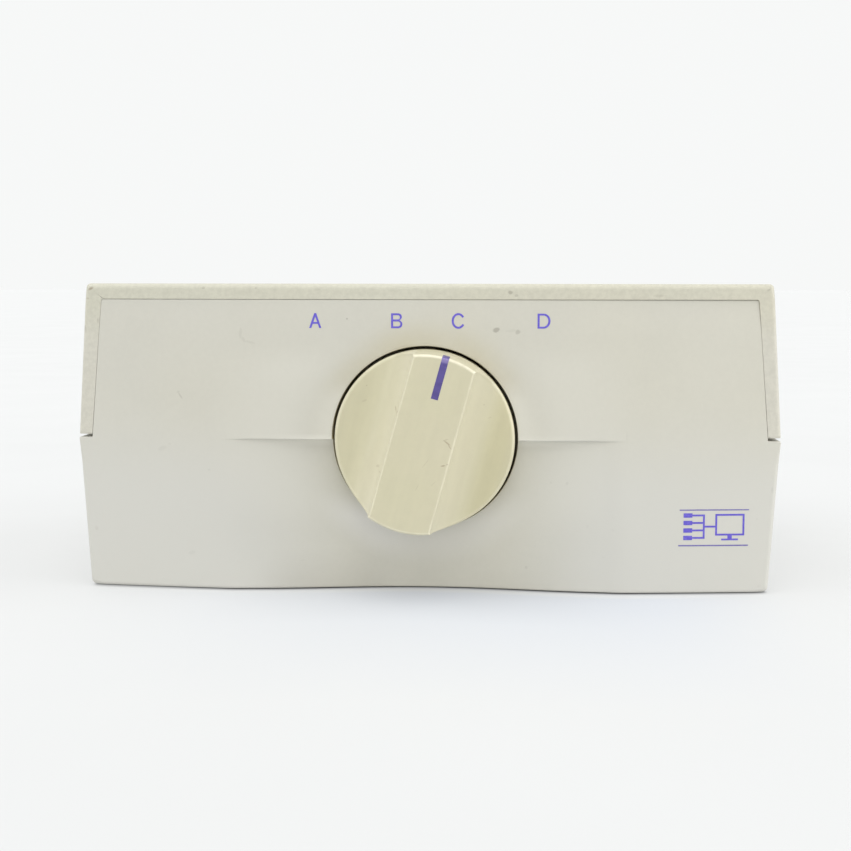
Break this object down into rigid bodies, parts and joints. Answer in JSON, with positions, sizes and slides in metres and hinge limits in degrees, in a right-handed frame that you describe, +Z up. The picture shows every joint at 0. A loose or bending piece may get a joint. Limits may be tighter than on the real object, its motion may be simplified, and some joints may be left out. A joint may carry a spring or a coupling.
{
  "type": "display switch box",
  "caption": "Desktop selector box that joins one display socket to any of several input sockets through a rotary wafer switch, turned by a large bar knob on a bowed front.",
  "frame": {"origin": "on the table, under the middle of the object's bounding box", "axes": "+Z up, -Y out of the front panel with the knob, +X to the right of somebody who faces the front"},
  "size_m": [0.16, 0.1256, 0.07],
  "materials": {
    "case_plastic": "fine satin moulding texture, slightly aged",
    "panel_paint": "satin paint on sheet steel",
    "foot_rubber": "matt",
    "zinc_steel": "bright zinc plate",
    "shell_nickel": "nickel plate",
    "socket_plastic": "moulded blue",
    "contact_brass": "plain brass",
    "housing_zinc": "zinc die casting",
    "spring_steel": "ground steel",
    "wafer_phenolic": "paper laminate",
    "rotor_nylon": "natural nylon",
    "ribbon_pvc": "grey ribbon insulation",
    "knob_plastic": "satin, yellowed with age",
    "pointer_ink": "filled line"
  },
  "bodies": {
    "case": {"lower_case": "case_plastic", "top_cover": "case_plastic", "rear_panel": "panel_paint", "rubber_feet": "foot_rubber", "case_screws": "zinc_steel", "socket_a_shell": "shell_nickel", "socket_b_shell": "shell_nickel", "socket_c_shell": "shell_nickel", "socket_d_shell": "shell_nickel", "socket_out_shell": "shell_nickel", "socket_a_insulator": "socket_plastic", "socket_b_insulator": "socket_plastic", "socket_c_insulator": "socket_plastic", "socket_d_insulator": "socket_plastic", "socket_out_insulator": "socket_plastic", "socket_a_contacts": "contact_brass", "socket_b_contacts": "contact_brass", "socket_c_contacts": "contact_brass", "socket_d_contacts": "contact_brass", "socket_out_contacts": "contact_brass", "jack_screws": "zinc_steel", "jack_nuts": "zinc_steel", "switch_bushing": "contact_brass", "switch_plate": "zinc_steel", "detent_housing": "housing_zinc", "detent_spring": "spring_steel", "panel_nut": "zinc_steel", "lock_washer": "zinc_steel", "wafer_1": "wafer_phenolic", "wafer_2": "wafer_phenolic", "wafer_3": "wafer_phenolic", "wafer_4": "wafer_phenolic", "wafer_5": "wafer_phenolic", "wafer_1_clips": "contact_brass", "wafer_2_clips": "contact_brass", "wafer_3_clips": "contact_brass", "wafer_4_clips": "contact_brass", "wafer_5_clips": "contact_brass", "spacer_sleeves": "zinc_steel", "tie_rods": "zinc_steel", "tie_nuts": "zinc_steel", "ribbon_a": "ribbon_pvc", "ribbon_b": "ribbon_pvc", "ribbon_c": "ribbon_pvc", "ribbon_d": "ribbon_pvc", "ribbon_out": "ribbon_pvc"},
    "selector": {"knob": "knob_plastic", "pointer_line": "pointer_ink", "knob_spring": "spring_steel", "switch_shaft": "spring_steel", "index_wheel": "rotor_nylon", "shaft_clip": "spring_steel", "rotor_1": "rotor_nylon", "rotor_2": "rotor_nylon", "rotor_3": "rotor_nylon", "rotor_4": "rotor_nylon", "rotor_5": "rotor_nylon", "rotor_blades": "contact_brass"}
  },
  "joints": [
    {"name": "selector_turn", "type": "hinge", "parent": "case", "child": "selector", "pos_m": [0, 0, 0.03528], "axis": [0, 1, 0], "range_deg": [-60, 30], "deforming": ["detent_spring"]}
  ]
}
